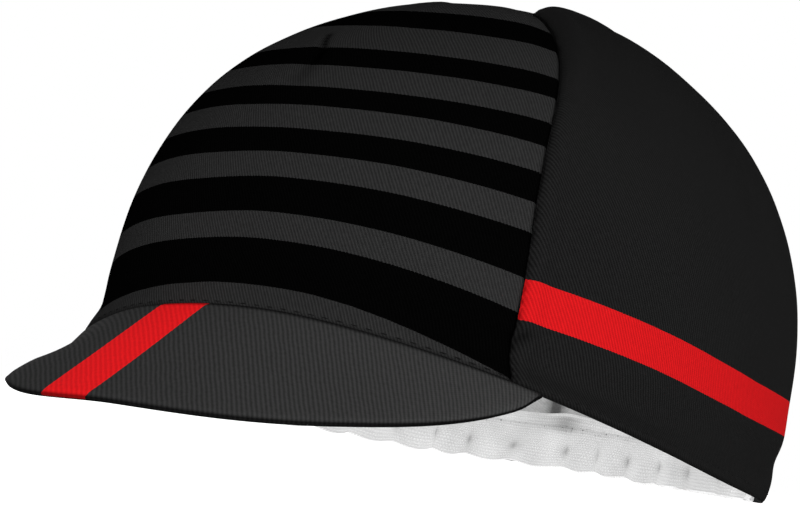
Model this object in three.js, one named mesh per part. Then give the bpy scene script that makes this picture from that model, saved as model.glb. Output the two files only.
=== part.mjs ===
// A cycling cap: a crown of three cloth panels, a short stiff peak and a knit sweatband inside the rim.
// Millimetres, +Z up, +X to the wearer's left, the peak towards -Y. It rests on the plane z = 0.
import * as THREE from 'three';

// The rim's outside, seen from above. A fullness of 2 is an ellipse, and more is squarer.
const rim = { halfWidth: 76, front: 103.8, back: 101.7, frontFullness: 2.28, backFullness: 2 };

// The rim isn't level: it hangs low at the ears and arches up over the forehead.
const sideDrop = 3.7;
const foreheadArch = 5.6;
const archSpread = 0.9; // radians around the head, to each side of the front

// The crown over the rim. The top leans back, and the walls swell out halfway up.
const crown = { height: 112, lean: 19, swell: 0.1, wallPower: 1.075, topPower: 0.861, cloth: 1.2 };

// Each side seam runs from the front rim over the top to the back rim. In the rows, along is the share of
// the way over the crown and across is the middle panel's half width, as a share of the rim's half width.
const seamPath = [
  { along: 0.000, across: 0.645 },
  { along: 0.038, across: 0.553 },
  { along: 0.087, across: 0.463 },
  { along: 0.152, across: 0.359 },
  { along: 0.201, across: 0.278 },
  { along: 0.245, across: 0.195 },
  { along: 0.300, across: 0.150 },
  { along: 0.400, across: 0.130 },
  { along: 0.600, across: 0.135 },
  { along: 0.800, across: 0.200 },
  { along: 1.000, across: 0.300 },
];
const seam = { gap: 0.3, dip: 1.1, reach: 7 };
// Where the side panels' patches turn their corners along the seam
const frontCorner = 0.16;
const backCorner = 0.8;

// The stitched hem leaves a shallow groove around the crown, above the rim.
const hem = { groove: 1.3, height: 10.5, spread: 4.5 };

// Soft dents in the crown, placed by their share of the way across and along from its middle
const dents = [
  { across: -0.10, along: -0.57, depth: 1.8, reach: 8 },
];

// The peak: two cloth faces over a stiffener, sewn to the rim between the seams. It droops, and its sides
// fan out. Its reach falls to nothing at both ends.
const peak = { halfAngle: 46, reach: 45.7, sidePower: 2.52, tipPower: 1.98, upper: 1, under: 1, gap: 0.3, rise: 0.6 };
const peakFan = { side: 10, curl: -8.7 };
const peakDroop = { middle: 36.6, end: 26.6 };

// The sweatband is gathered along the back half of the rim.
const band = { thickness: 1.4, height: 15, below: 0.6, gap: 0.6 };
const gathers = { pitch: 13.5, depth: 0.8, start: 85, full: 115 };

const facets = { alongSide: 22, upSide: 12, acrossMiddle: 14, aroundPeak: 26, outPeak: 5, upBand: 3 };
const frontStep = 9; // the length of the sweatband's plain facets
const facetsPerGather = 6;

const quarter = Math.PI / 2;
const radians = THREE.MathUtils.degToRad;
const ease = THREE.MathUtils.smoothstep;

// A smooth curve through a table's rows
function between(rows, key, value, at) {
  const last = rows.length - 1;
  let i = 0;
  while (i < last - 1 && at > rows[i + 1][key]) i += 1;
  const slope = (k) => {
    const a = rows[Math.max(k - 1, 0)];
    const b = rows[Math.min(k + 1, last)];
    return (b[value] - a[value]) / (b[key] - a[key]);
  };
  const step = rows[i + 1][key] - rows[i][key];
  const t = (at - rows[i][key]) / step;
  const rise = rows[i + 1][value] - rows[i][value];
  const first = slope(i) * step;
  const second = slope(i + 1) * step;
  return rows[i][value] + first * t + (3 * rise - 2 * first - second) * t ** 2 + (first + second - 2 * rise) * t ** 3;
}

// The rim's height at an angle around the head, measured from the front
function rimHeight(angle) {
  return sideDrop * Math.cos(2 * angle) + foreheadArch * Math.exp(-((angle / archSpread) ** 2));
}

// A point of the smooth crown, from its place on a flat disc of radius 1: the disc's edge is the rim.
function smoothCrown(across, along) {
  const radius = Math.min(Math.hypot(across, along), 1);
  if (radius < 1e-6) return new THREE.Vector3(0, crown.lean, crown.height);
  const angle = Math.atan2(across, -along);
  const climb = (1 - radius) * quarter;
  const front = along < 0;
  const power = front ? rim.frontFullness : rim.backFullness;
  const side = Math.abs(Math.sin(angle)) ** power + Math.abs(Math.cos(angle)) ** power;
  const out = Math.cos(climb) ** crown.wallPower * (1 + crown.swell * Math.sin(2 * climb)) * side ** (-1 / power);
  const rise = Math.sin(climb) ** crown.topPower;
  return new THREE.Vector3(
    rim.halfWidth * out * Math.sin(angle),
    -(front ? rim.front : rim.back) * out * Math.cos(angle) + crown.lean * rise,
    rimHeight(angle) * (1 - Math.sin(climb)) ** 1.5 + crown.height * rise,
  );
}

// The outward direction of the smooth crown
function outward(across, along) {
  const radius = Math.hypot(across, along);
  const pull = radius > 0.992 ? 0.992 / radius : 1;
  const step = 0.004;
  const a = across * pull;
  const b = along * pull;
  const right = smoothCrown(a + step, b).sub(smoothCrown(a - step, b));
  const back = smoothCrown(a, b + step).sub(smoothCrown(a, b - step));
  return right.cross(back).normalize();
}

// A side seam's place on the disc. The side is 1 for the wearer's left and -1 for the right.
function seamPlace(at, side) {
  const frontEnd = Math.sqrt(1 - seamPath[0].across ** 2);
  const backEnd = Math.sqrt(1 - seamPath[seamPath.length - 1].across ** 2);
  return [side * between(seamPath, 'along', 'across', at), backEnd * at - frontEnd * (1 - at)];
}

function seamPoint(at, side) {
  return smoothCrown(...seamPlace(at, side));
}

// Points along both seams, for the distance to the nearest one
const seamSamples = [];
for (let i = 0; i <= 80; i += 1) {
  seamSamples.push(seamPoint(i / 80, 1), seamPoint(i / 80, -1));
}

// How far the cloth stands out from the smooth crown: in at the seams, the hem's groove and the dents
function relief(across, along, point) {
  const toSeam = Math.min(...seamSamples.map((sample) => sample.distanceTo(point)));
  const aboveRim = point.z - rimHeight(Math.atan2(across, -along));
  let out = -seam.dip * Math.exp(-((toSeam / seam.reach) ** 2));
  out -= hem.groove * Math.exp(-(((aboveRim - hem.height) / hem.spread) ** 2));
  for (const dent of dents) {
    const away = smoothCrown(dent.across, dent.along).distanceTo(point);
    out -= dent.depth * Math.exp(-((away / dent.reach) ** 2));
  }
  return out;
}

// A point of the crown's cloth, a depth below its outside
function crownPoint(across, along, depth) {
  const point = smoothCrown(across, along);
  const out = relief(across, along, point) - depth;
  return point.addScaledVector(outward(across, along), out);
}

// A point of a panel's edge, beside the seam. The panel lies on the seam's outer side for the side panels
// and on its inner side for the middle one.
function edgePoint(at, side, outer, depth) {
  const place = seamPlace(at, side);
  const before = seamPoint(Math.max(at - 0.004, 0), side);
  const after = seamPoint(Math.min(at + 0.004, 1), side);
  const normal = outward(...place);
  const beside = after.sub(before).cross(normal).normalize();
  const away = side * (outer ? 1 : -1) * seam.gap / 2;
  return crownPoint(...place, depth).addScaledVector(beside, away);
}

// A closed solid between two grids of points: the outside and the inside of a sheet. A ring's rows close
// on themselves. Points that meet are joined, so a grid may shrink to a point at its ends.
function sheetSolid(outside, inside, ring = false) {
  const points = [];
  const seen = new Map();
  const indexOf = (point) => {
    const key = point.toArray().map((value) => Math.round(value * 1e4)).join(' ');
    if (!seen.has(key)) {
      seen.set(key, points.length);
      points.push(point);
    }
    return seen.get(key);
  };
  const triangles = [];
  const triangle = (a, b, c) => {
    if (a !== b && b !== c && c !== a) triangles.push(a, b, c);
  };
  const quad = (a, b, c, d) => {
    triangle(a, b, c);
    triangle(a, c, d);
  };
  const outer = outside.map((row) => row.map(indexOf));
  const inner = inside.map((row) => row.map(indexOf));
  const rows = outer.length;
  const columns = outer[0].length;
  const columnSteps = ring ? columns : columns - 1;
  for (let i = 0; i < rows - 1; i += 1) {
    for (let j = 0; j < columnSteps; j += 1) {
      const k = (j + 1) % columns;
      quad(outer[i][j], outer[i][k], outer[i + 1][k], outer[i + 1][j]);
      quad(inner[i][j], inner[i + 1][j], inner[i + 1][k], inner[i][k]);
    }
  }
  for (let j = 0; j < columnSteps; j += 1) {
    const k = (j + 1) % columns;
    quad(outer[0][k], outer[0][j], inner[0][j], inner[0][k]);
    quad(outer[rows - 1][j], outer[rows - 1][k], inner[rows - 1][k], inner[rows - 1][j]);
  }
  for (let i = 0; i < rows - 1 && !ring; i += 1) {
    quad(outer[i][0], outer[i + 1][0], inner[i + 1][0], inner[i][0]);
    quad(outer[i + 1][columns - 1], outer[i][columns - 1], inner[i][columns - 1], inner[i + 1][columns - 1]);
  }
  let volume = 0;
  for (let i = 0; i < triangles.length; i += 3) {
    const [a, b, c] = triangles.slice(i, i + 3).map((index) => points[index]);
    volume += a.dot(b.clone().cross(c));
  }
  const geometry = new THREE.BufferGeometry();
  geometry.setAttribute('position', new THREE.Float32BufferAttribute(points.flatMap((point) => point.toArray()), 3));
  geometry.setIndex(volume < 0 ? triangles.slice().reverse() : triangles);
  geometry.computeVertexNormals();
  return geometry;
}

// A grid of points, from a function of its row and column shares
function grid(rowShares, columnShares, pointAt) {
  return rowShares.map((row, i) => columnShares.map((column, j) => pointAt(row, column, i, j)));
}

function shares(count, power = 1) {
  return Array.from({ length: count + 1 }, (unused, i) => (i / count) ** power);
}

// The stretches of the seam that both panels beside it follow: up from the front rim, over, and down
const climbShares = shares(facets.upSide, 1.4);
const overShares = shares(facets.alongSide);
const seamUp = climbShares.map((share) => frontCorner * share);
const seamOver = overShares.map((share) => frontCorner + (backCorner - frontCorner) * share);
const seamDown = climbShares.map((share) => 1 - (1 - backCorner) * share);

function middlePanel() {
  const rows = [...seamUp, ...seamOver.slice(1, -1), ...seamDown.slice().reverse()];
  const columns = shares(facets.acrossMiddle).map((share) => 2 * share - 1);
  const ends = [seamPath[0].across, seamPath[seamPath.length - 1].across];
  const face = (depth) => grid(rows, columns, (at, column) => {
    if (Math.abs(column) > 0.999) return edgePoint(at, Math.sign(column), false, depth);
    const [frontEdge, backEdge] = ends.map((end) => Math.sqrt(1 - (column * end) ** 2));
    const across = column * between(seamPath, 'along', 'across', at);
    return crownPoint(across, backEdge * at - frontEdge * (1 - at), depth);
  });
  return sheetSolid(face(0), face(crown.cloth));
}

// A side panel fills the disc between the rim and the seam: a patch blended from its four edges.
function sidePanel(side) {
  const frontAngle = Math.asin(seamPath[0].across);
  const backAngle = Math.PI - Math.asin(seamPath[seamPath.length - 1].across);
  const rimPlace = (share) => {
    const angle = frontAngle + (backAngle - frontAngle) * share;
    return [side * Math.sin(angle), -Math.cos(angle)];
  };
  const corners = [seamPlace(0, side), seamPlace(1, side), seamPlace(frontCorner, side), seamPlace(backCorner, side)];
  const face = (depth) => grid(climbShares, overShares, (up, over, i, j) => {
    if (j === 0) return edgePoint(seamUp[i], side, true, depth);
    if (j === overShares.length - 1) return edgePoint(seamDown[i], side, true, depth);
    if (i === climbShares.length - 1) return edgePoint(seamOver[j], side, true, depth);
    const low = rimPlace(over);
    const high = seamPlace(seamOver[j], side);
    const front = seamPlace(seamUp[i], side);
    const back = seamPlace(seamDown[i], side);
    const place = [0, 1].map((k) => {
      const blended = (1 - up) * low[k] + up * high[k] + (1 - over) * front[k] + over * back[k];
      const lowCorners = (1 - over) * corners[0][k] + over * corners[1][k];
      const highCorners = (1 - over) * corners[2][k] + over * corners[3][k];
      return blended - (1 - up) * lowCorners - up * highCorners;
    });
    return crownPoint(...place, depth);
  });
  return sheetSolid(face(0), face(crown.cloth));
}

// One face of the peak, between two depths below its top: rows run out from the rim, columns around it.
function peakFace(top, bottom) {
  const outShares = shares(facets.outPeak);
  const ends = shares(facets.aroundPeak).map((share) => Math.sin((share - 0.5) * Math.PI));
  const face = (depth) => grid(outShares, ends, (outShare, end) => {
    const angle = radians(peak.halfAngle) * end;
    const place = [Math.sin(angle), -Math.cos(angle)];
    const level = outward(...place).setZ(0).normalize();
    const root = smoothCrown(...place).addScaledVector(level, peak.gap);
    const reach = peak.reach * (1 - Math.abs(end) ** peak.sidePower) ** (1 / peak.tipPower) * outShare;
    const fan = radians(peakFan.side * end + peakFan.curl * end ** 3);
    const droop = radians(peakDroop.middle + (peakDroop.end - peakDroop.middle) * end ** 2);
    const forward = new THREE.Vector3(Math.sin(fan), -Math.cos(fan), 0);
    root.addScaledVector(forward, reach * Math.cos(droop));
    root.z += peak.rise - reach * Math.sin(droop) - depth / Math.cos(droop);
    return root;
  });
  return sheetSolid(face(top), face(bottom));
}

// The angles around the head where the sweatband's columns stand, closer together at the gathers
function bandAngles() {
  const perimeter = Math.PI * (rim.halfWidth + (rim.front + rim.back) / 2);
  const perDegree = perimeter / 360;
  const gathered = 2 * (180 - gathers.start) * perDegree;
  const folds = Math.round(gathered / gathers.pitch);
  const back = shares(folds * facetsPerGather).map((share) => gathers.start + 2 * (180 - gathers.start) * share);
  const frontCount = Math.ceil(2 * gathers.start * perDegree / frontStep);
  const front = shares(frontCount).slice(1, -1).map((share) => 360 - gathers.start + 2 * gathers.start * share);
  return { angles: [...back, ...front], folds };
}

function sweatband() {
  const { angles, folds } = bandAngles();
  const fold = 2 * (180 - gathers.start) / folds;
  const outerDepth = crown.cloth + band.gap;
  const heights = shares(facets.upBand).map((share) => share * band.height - band.below);
  const face = (thickness) => grid(heights, angles, (height, degrees) => {
    const angle = radians(degrees);
    const fromFront = Math.abs(THREE.MathUtils.euclideanModulo(degrees + 180, 360) - 180);
    const strength = ease(fromFront, gathers.start, gathers.full);
    const wave = 0.5 - 0.5 * Math.cos(2 * Math.PI * (degrees - gathers.start) / fold);
    const climb = Math.asin((Math.max(height, 0) / crown.height) ** (1 / crown.topPower));
    const radius = 1 - climb / quarter;
    const place = [radius * Math.sin(angle), -radius * Math.cos(angle)];
    const point = smoothCrown(...place);
    const groove = relief(...place, point);
    const depth = outerDepth + thickness + strength * wave * gathers.depth - groove;
    point.addScaledVector(outward(...place).setZ(0).normalize(), -depth);
    point.z += Math.min(height, 0);
    return point;
  });
  return sheetSolid(face(0), face(band.thickness), true);
}

function cloth(colour, roughness) {
  return new THREE.MeshStandardMaterial({ color: colour, roughness, metalness: 0 });
}

const stripedGrey = cloth(0x1c1c1c, 0.85);
const black = cloth(0x181818, 0.85);
const grey = cloth(0x333333, 0.85);
const underBlack = cloth(0x070707, 0.9);
const white = cloth(0xd6d6d4, 0.9);

// The pieces in the crown's own frame, tilted about the X axis to lie at rest
const cap = new THREE.Group();
const tilted = new THREE.Group();
cap.add(tilted);

function addPiece(name, geometry, material) {
  const mesh = new THREE.Mesh(geometry, material);
  mesh.name = name;
  tilted.add(mesh);
  return mesh;
}

const peakUpper = addPiece('peak_upper', peakFace(0, peak.upper), grey);
const peakUnderTop = peak.upper + peak.gap;
const peakUnder = addPiece('peak_under', peakFace(peakUnderTop, peakUnderTop + peak.under), underBlack);
const knitBand = addPiece('sweatband', sweatband(), white);
const middle = addPiece('center_panel', middlePanel(), stripedGrey);
const left = addPiece('left_side_panel', sidePanel(1), black);
const right = addPiece('right_side_panel', sidePanel(-1), black);

// The box around some pieces, when the front is raised by an angle
function boxAt(lift, pieces) {
  const box = new THREE.Box3();
  const turn = new THREE.Matrix4().makeRotationX(-lift);
  const point = new THREE.Vector3();
  for (const piece of pieces) {
    const positions = piece.geometry.attributes.position;
    for (let i = 0; i < positions.count; i += 1) {
      box.expandByPoint(point.fromBufferAttribute(positions, i).applyMatrix4(turn));
    }
  }
  return box;
}

// At rest the peak's edge and the rim's back touch the surface: the lift between these limits levels them.
const shell = [knitBand, middle, left, right];
let lowLift = 0;
let highLift = radians(30);
for (let i = 0; i < 40; i += 1) {
  const lift = (lowLift + highLift) / 2;
  const peakIsLow = boxAt(lift, [peakUnder]).min.z < boxAt(lift, shell).min.z;
  if (peakIsLow) lowLift = lift;
  else highLift = lift;
}
const whole = boxAt(lowLift, [peakUpper, peakUnder, ...shell]);
const middlePoint = whole.getCenter(new THREE.Vector3());
tilted.rotation.x = -lowLift;
cap.position.set(-middlePoint.x, -middlePoint.y, -whole.min.z);

export default cap;
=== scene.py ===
"""A cycling cap: three cloth panels, a short stiff peak and a gathered knit sweatband, on a pale floor.

Lengths are in millimetres until a piece is built, and MM turns them into Blender's metres. The crown's own
frame has its rim in the plane z = 0; REST turns and moves it to where the cap lies at rest.
"""
import math

import bpy
import numpy as np
from mathutils import Matrix, Vector, kdtree, noise


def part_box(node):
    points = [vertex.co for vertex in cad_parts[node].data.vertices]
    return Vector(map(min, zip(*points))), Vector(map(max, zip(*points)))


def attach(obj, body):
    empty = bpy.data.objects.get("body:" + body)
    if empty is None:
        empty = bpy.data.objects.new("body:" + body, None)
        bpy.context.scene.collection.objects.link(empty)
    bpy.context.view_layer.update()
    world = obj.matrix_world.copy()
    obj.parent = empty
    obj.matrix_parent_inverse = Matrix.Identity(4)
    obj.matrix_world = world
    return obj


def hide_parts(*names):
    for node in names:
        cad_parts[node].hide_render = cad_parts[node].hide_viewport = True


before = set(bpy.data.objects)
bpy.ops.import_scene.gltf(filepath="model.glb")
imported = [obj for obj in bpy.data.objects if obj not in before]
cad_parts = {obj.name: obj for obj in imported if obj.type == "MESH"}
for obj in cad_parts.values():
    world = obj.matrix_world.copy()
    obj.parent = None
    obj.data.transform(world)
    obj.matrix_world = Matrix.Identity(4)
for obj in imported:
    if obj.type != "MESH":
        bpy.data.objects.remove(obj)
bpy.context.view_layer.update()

MM = 0.001
TAU = 2 * math.pi

# Sizes of the cap

# The rim's outside from above: a fullness of 2 is an ellipse, and more is squarer
RIM = dict(half_width=76, front=103.8, back=101.7, front_fullness=2.28, back_fullness=2.0)
SIDE_DROP = 3.7  # the rim lies this much higher at the front and back, and lower at the ears
FOREHEAD_ARCH = dict(rise=5.6, spread=0.9)  # the spread is an angle in radians
CROWN = dict(height=112, lean=19, swell=0.10, wall_power=1.075, top_power=0.861)
CLOTH = 1.2  # the panels' wall

# On the wearer's right the rim sags beside the peak's end and rises again further back, at these degrees
RIGHT_DROOP = dict(down=3.0, angle=58, spread=20)
RIGHT_RISE = dict(up=3.0, angle=120, spread=24)

# The side seams: share of the way over the crown, and the middle panel's half width as a share of the rim's
SEAM_ALONG = [
    0, 0.017, 0.037, 0.072, 0.109, 0.152, 0.190, 0.218, 0.240,
    0.261, 0.279, 0.296, 0.33, 0.40, 0.50, 0.60, 0.80, 1,
]
SEAM_ACROSS = [
    0.654, 0.609, 0.570, 0.502, 0.443, 0.384, 0.326, 0.276, 0.232,
    0.183, 0.138, 0.110, 0.097, 0.100, 0.122, 0.150, 0.190, 0.200,
]
RIGHT_EXTRA = dict(share=0.09, spread=0.18)  # the wearer's right seam lies a little further out at the front
SEAM_GAP = -0.2  # below 0, so that the panels' turned edges meet inside the seam
SEAM_OUT = 40  # about how far the seams are from the middle
TURNED_IN = 1.1  # how deep the panels' edges go into the seam

# Where along the seam a side panel's front edge becomes its top edge, and its top edge the back one
FRONT_CORNER = 0.33
BACK_CORNER = 0.8

# The peak: the angles are degrees, the fan is how its lines spread, and the droop how steeply they fall
PEAK = dict(half_angle=46, reach=45.7, side_power=2.52, tip_power=1.98, rise=0.6, root_gap=0.3)
PEAK_FAN = dict(side=10, curl=-8.7)
PEAK_DROOP = dict(middle=36.6, end=26.6)
PEAK_FACE = 1.0  # the solids' two faces, and the gap between them
PEAK_FACE_GAP = 0.3
LEFT_END = dict(sooner=0.02, start=0.5)  # on the wearer's left the peak ends this much sooner

# At its edge the peak is one folded layer, thinner than the solids' two faces. It is raised in the middle,
# and by less at both ends. Its right end is hollow from above. Starts and ends are shares around the root.
LIP = dict(upper=0.58, under=0.42, clear=0.03, roll_spread=1.2)
EDGE_RAISE = dict(middle=1.0, right=-0.4, right_end=-0.5, middle_start=-0.05, left_less=0.8, left_start=0.6)
RIGHT_HOLLOW = dict(depth=2.4, out=0.35, spread=0.28, start=0.45, full=0.8)

# The sweatband
BAND = dict(thickness=1.4, height=15, rest=1.5, clear=0.5)

# How far the band hangs below the rim, around the head from the front to the wearer's left: its far side
# shows from the photograph's side, and its near side is tucked in
BAND_ANGLES = [0, 98, 112, 128, 160, 178, 200, 210, 222, 238, 250, 266, 285, 360]
BAND_BELOW = [-2.6, -2.6, 0.0, 0.8, 1.3, 0.5, 0.5, 0.6, 1.3, 1.3, 0.9, -0.6, -2.6, -2.6]
SMOOTH_BAND = dict(share=0.8, angle=128, spread=22)  # the gathers fade where the band shows edge on
BAND_JOIN = dict(angle=189, spread=3.5, up=0.6)  # the join in the band, at the back, and its shade's heights
JOIN_SHADE = dict(low=9, full=11.5, fading=13.5, high=14.5)
# The gathers along the back half, fullest low down, the pits between their puffs, which are also darkened as
# painted shade, the hem along the band's upper edge, and how unevenly that edge lies
GATHER = dict(pitch=14, depth=1.7, start=80, full=110, least=0.25, full_below=3, least_above=11)
HEM_SWING = dict(by=1.1, up_to=5)  # the gathers' swing of the lower edge, and how high up the band it is felt
UNEVEN_TOP = dict(by=0.9, low=8, high=15)
PIT = dict(depth=0.5, height=4.5, spread=1.7)
BAND_HEM = dict(groove=0.25, below_top=3.2, spread=0.5, step=0.2, step_low=11.5, step_high=12.3)


# Helpers for numbers

def smooth(low, high, value):
    """0 below low, 1 above high, and a soft step between."""
    share = np.clip((value - low) / (high - low), 0, 1)
    return share * share * (3 - 2 * share)


def bump(value, spread):
    """A soft hill of height 1 around 0."""
    return np.exp(-((value / spread) ** 2))


def curve_through(xs, ys, at):
    """A smooth curve through a table's points."""
    xs, ys, at = np.asarray(xs, float), np.asarray(ys, float), np.asarray(at, float)
    before, after = np.maximum(np.arange(len(xs)) - 1, 0), np.minimum(np.arange(len(xs)) + 1, len(xs) - 1)
    slope = (ys[after] - ys[before]) / (xs[after] - xs[before])
    i = np.clip(np.searchsorted(xs, at, side="right") - 1, 0, len(xs) - 2)
    step = xs[i + 1] - xs[i]
    t = (at - xs[i]) / step
    rise, first, second = ys[i + 1] - ys[i], slope[i] * step, slope[i + 1] * step
    square, cube = 3 * rise - 2 * first - second, first + second - 2 * rise
    return ys[i] + first * t + square * t ** 2 + cube * t ** 3


def unit(vectors):
    """The vectors at length 1."""
    return vectors / np.maximum(np.linalg.norm(vectors, axis=-1, keepdims=True), 1e-12)


def crowd_ends(share, strength):
    """Shares from 0 to 1, closer together at both ends."""
    return (1 - strength) * share + strength * (share - np.sin(TAU * share) / TAU)


def ripple(points, size, seed):
    """Smooth noise from -1 to 1 at each point, with hills about size millimetres apart."""
    shift = Vector((seed * 7.3, seed * 3.1, seed * 5.7))
    return np.array([noise.noise(Vector(point) / size + shift) for point in points])


# The crown's shape

def rim_height(angle):
    """The rim's height at an angle around the head, measured from the front towards the wearer's left."""
    droop = RIGHT_DROOP["down"] * bump(np.degrees(angle) + RIGHT_DROOP["angle"], RIGHT_DROOP["spread"])
    rise = RIGHT_RISE["up"] * bump(np.degrees(angle) + RIGHT_RISE["angle"], RIGHT_RISE["spread"])
    arch = FOREHEAD_ARCH["rise"] * bump(angle, FOREHEAD_ARCH["spread"])
    return SIDE_DROP * np.cos(2 * angle) + arch - droop + rise


def smooth_crown(across, along):
    """A point of the smooth crown from its place on a flat disc of radius 1, whose edge is the rim."""
    radius = np.clip(np.hypot(across, along), 1e-6, 1)
    angle = np.arctan2(across, -along)
    climb = (1 - radius) * math.pi / 2
    in_front = along < 0
    power = np.where(in_front, RIM["front_fullness"], RIM["back_fullness"])
    squareness = (np.abs(np.sin(angle)) ** power + np.abs(np.cos(angle)) ** power) ** (-1 / power)
    out = np.cos(climb) ** CROWN["wall_power"] * (1 + CROWN["swell"] * np.sin(2 * climb)) * squareness
    rise = np.sin(climb) ** CROWN["top_power"]
    reach = np.where(in_front, RIM["front"], RIM["back"])
    return np.stack([
        RIM["half_width"] * out * np.sin(angle),
        -reach * out * np.cos(angle) + CROWN["lean"] * rise,
        rim_height(angle) * (1 - np.sin(climb)) ** 1.5 + CROWN["height"] * rise,
    ], axis=-1)


def outward(across, along):
    """The outward direction of the smooth crown, taken a step to each side and so never nearer its edge."""
    step = 0.004
    most = 1 - 2 * step
    radius = np.hypot(across, along)
    pull = np.where(radius > most, most / np.maximum(radius, 1e-6), 1)
    a, b = across * pull, along * pull
    right = smooth_crown(a + step, b) - smooth_crown(a - step, b)
    back = smooth_crown(a, b + step) - smooth_crown(a, b - step)
    return unit(np.cross(right, back))


def seam_across(at, side):
    """The seam's share of the way across the disc. side is 1 on the wearer's left and -1 on the right."""
    extra = np.where(np.asarray(side) < 0, RIGHT_EXTRA["share"] * bump(at, RIGHT_EXTRA["spread"]), 0)
    return curve_through(SEAM_ALONG, SEAM_ACROSS, at) * (1 + extra)


def seam_place(at, side, widen=1.0):
    """A seam's place on the disc. widen moves it off the seam, to the side that it is above or below 1."""
    across = widen * seam_across(at, side)
    front_end = np.sqrt(1 - (widen * seam_across(0.0, side)) ** 2)
    back_end = np.sqrt(1 - (widen * seam_across(1.0, side)) ** 2)
    return side * across, back_end * at - front_end * (1 - at)


SEAM_STEPS = np.linspace(0, 1, 600)
seam_trees = {}
for side in (1, -1):
    seam_trees[side] = kdtree.KDTree(len(SEAM_STEPS))
    for index, point in enumerate(smooth_crown(*seam_place(SEAM_STEPS, side))):
        seam_trees[side].insert(Vector(point), index)
    seam_trees[side].balance()


def seam_distance(points):
    """How far each point is from the nearer seam, and where along that seam it is."""
    found = [seam_trees[1 if point[0] > 0 else -1].find(Vector(point)) for point in points]
    return np.array([hit[2] for hit in found]), SEAM_STEPS[[hit[1] for hit in found]]


# The cloth sinks into the seams, deepest over the top, and the side panels swell beside them
SEAM_DIP_ALONG = [0, 0.10, 0.17, 0.22, 0.30, 0.45, 1]
SEAM_DIP = [0.2, 0.3, 0.5, 0.9, 1.0, 0.9, 0.7]
SIDE_SWELL = [1.0, 1.0, 1.1, 1.8, 2.2, 1.3, 0.5]
SWELL_AWAY = [2.6, 2.6, 3.0, 3.8, 4.2, 5.5, 5.5]  # how far from the seam the swell stands, and its spread
RIGHT_SWELL = dict(low=0.1, high=0.3)  # on the wearer's right the swell starts further up the seam
RIGHT_SIDE_SINK = dict(depth=1.1, spread=0.12, reach=9)
SEAM_REACH = 5.0
SEAM_CREASE = dict(depth=0.7, spread=0.7)
SEAM_SHADOW = 2.8  # how far the seams' shade spreads over the inside
SEAM_LINE_SHADE = dict(middle=0.45, side=0.35)  # and the painted shade of their line over each panel's outside

# The folded and stitched hem above the rim, and the painted shade along the side panels' very edge
HEM = dict(groove=1.1, front_height=7.0, height=10.5, spread=4.2, edge_roll=0.45, edge_spread=0.7)
HEM_RISES = dict(low=50, high=90)  # the angles between which the groove rises to the sides' height
HEM_FOLD = dict(low=2.8, high=3.2)
RIM_EDGE_SHADE = dict(dark=0.7, spread=0.5)

# The painted shade along the line where the peak is sewn on, which ends at these degrees from the front
PEAK_ROOT_SHADE = dict(dark=0.8, spread=0.5, low=42, high=52)

# The stiff peak spreads the rim outwards beside its ends, at this angle from the front
RIM_FLARE = dict(out=2.6, right_out=3.2, angle=50, spread=22, height=6.0, right_height=14.0)

# The lower side wall bulges on both sides, the top sags behind the seams' upper bend, the middle panel is a
# little flat in front of that, the wearer's right shoulder stands out, and low hills cover all the cloth
SIDE_BULGE = dict(out=1.3, angle=120, spread=30, height=10, tall=12)
TOP_SAG = dict(depth=1.5, across=0.13, front_low=-0.36, front_high=-0.24, back_low=-0.15, back_high=0.15)
CROWN_FLAT = dict(depth=0.2, along=-0.35, spread=0.30)
SHOULDER = dict(out=0.8, across=-0.45, along=-0.45, spread=0.18)
CLOTH_HILLS = [dict(depth=0.35, apart=34, seed=1), dict(depth=0.12, apart=11, seed=2)]

# Folds in the cloth: a line of places on the disc, the valley's depth and width, the ridge beside it and how
# far away that stands (to the left of the line's way), how far the fold fades past the line's ends, and how
# much painted shade darkens the valley
FOLDS = [
    dict(
        line=[(-0.125, -0.53), (-0.110, -0.56), (-0.090, -0.59), (-0.088, -0.61)],
        depth=0.35, wide=0.7, ridge=0.12, away=-2.6, fade=1.8, dark=1.15,
    ),
    dict(
        line=[(-0.088, -0.60), (-0.085, -0.635), (-0.090, -0.66)],
        depth=0.12, wide=2.4, ridge=0.1, away=-6, fade=3, dark=0.3,
    ),
    dict(line=[(0.62, -0.735), (0.63, -0.72)], depth=0.5, wide=1.2, ridge=0.25, away=2.5, fade=2, dark=0.5),
    dict(line=[(0.56, -0.045), (0.63, -0.085)], depth=0.8, wide=5, ridge=0.3, away=9, fade=6, dark=0),
]


def fold_relief(points, fold):
    """A fold's relief: a valley along its line with a ridge beside it, and the painted shade of the valley.
    """
    corners = np.array(fold["line"])
    steps = np.linspace(0, len(corners) - 1, 60)
    across, along = (np.interp(steps, np.arange(len(corners)), corners[:, k]) for k in range(2))
    line, normals = smooth_crown(across, along), outward(across, along)
    ways = unit(np.gradient(line, axis=0))
    away = points[:, None] - line
    nearest = np.argmin(np.linalg.norm(away, axis=2), axis=1)
    away = away[np.arange(len(points)), nearest]
    way, beside = ways[nearest], np.cross(normals, ways)[nearest]
    past = np.sum(away * way, axis=1)
    aside = np.sum(away * beside, axis=1)
    valley = bump(aside, fold["wide"])
    ridge = fold["ridge"] * bump(aside - fold["away"], abs(fold["away"]) * 0.6)
    fade = bump(past, fold["fade"])
    return (ridge - fold["depth"] * valley) * fade, fold["dark"] * valley * fade


def rim_flare(angle, above):
    """How far the rim is spread outwards at an angle and a height above it."""
    beside = bump(np.abs(np.degrees(angle)) - RIM_FLARE["angle"], RIM_FLARE["spread"])
    on_right = np.asarray(angle) < 0
    most = np.where(on_right, RIM_FLARE["right_out"], RIM_FLARE["out"])
    tall = np.where(on_right, RIM_FLARE["right_height"], RIM_FLARE["height"])
    return most * beside * (1 - smooth(0, 1, above / tall))


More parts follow.
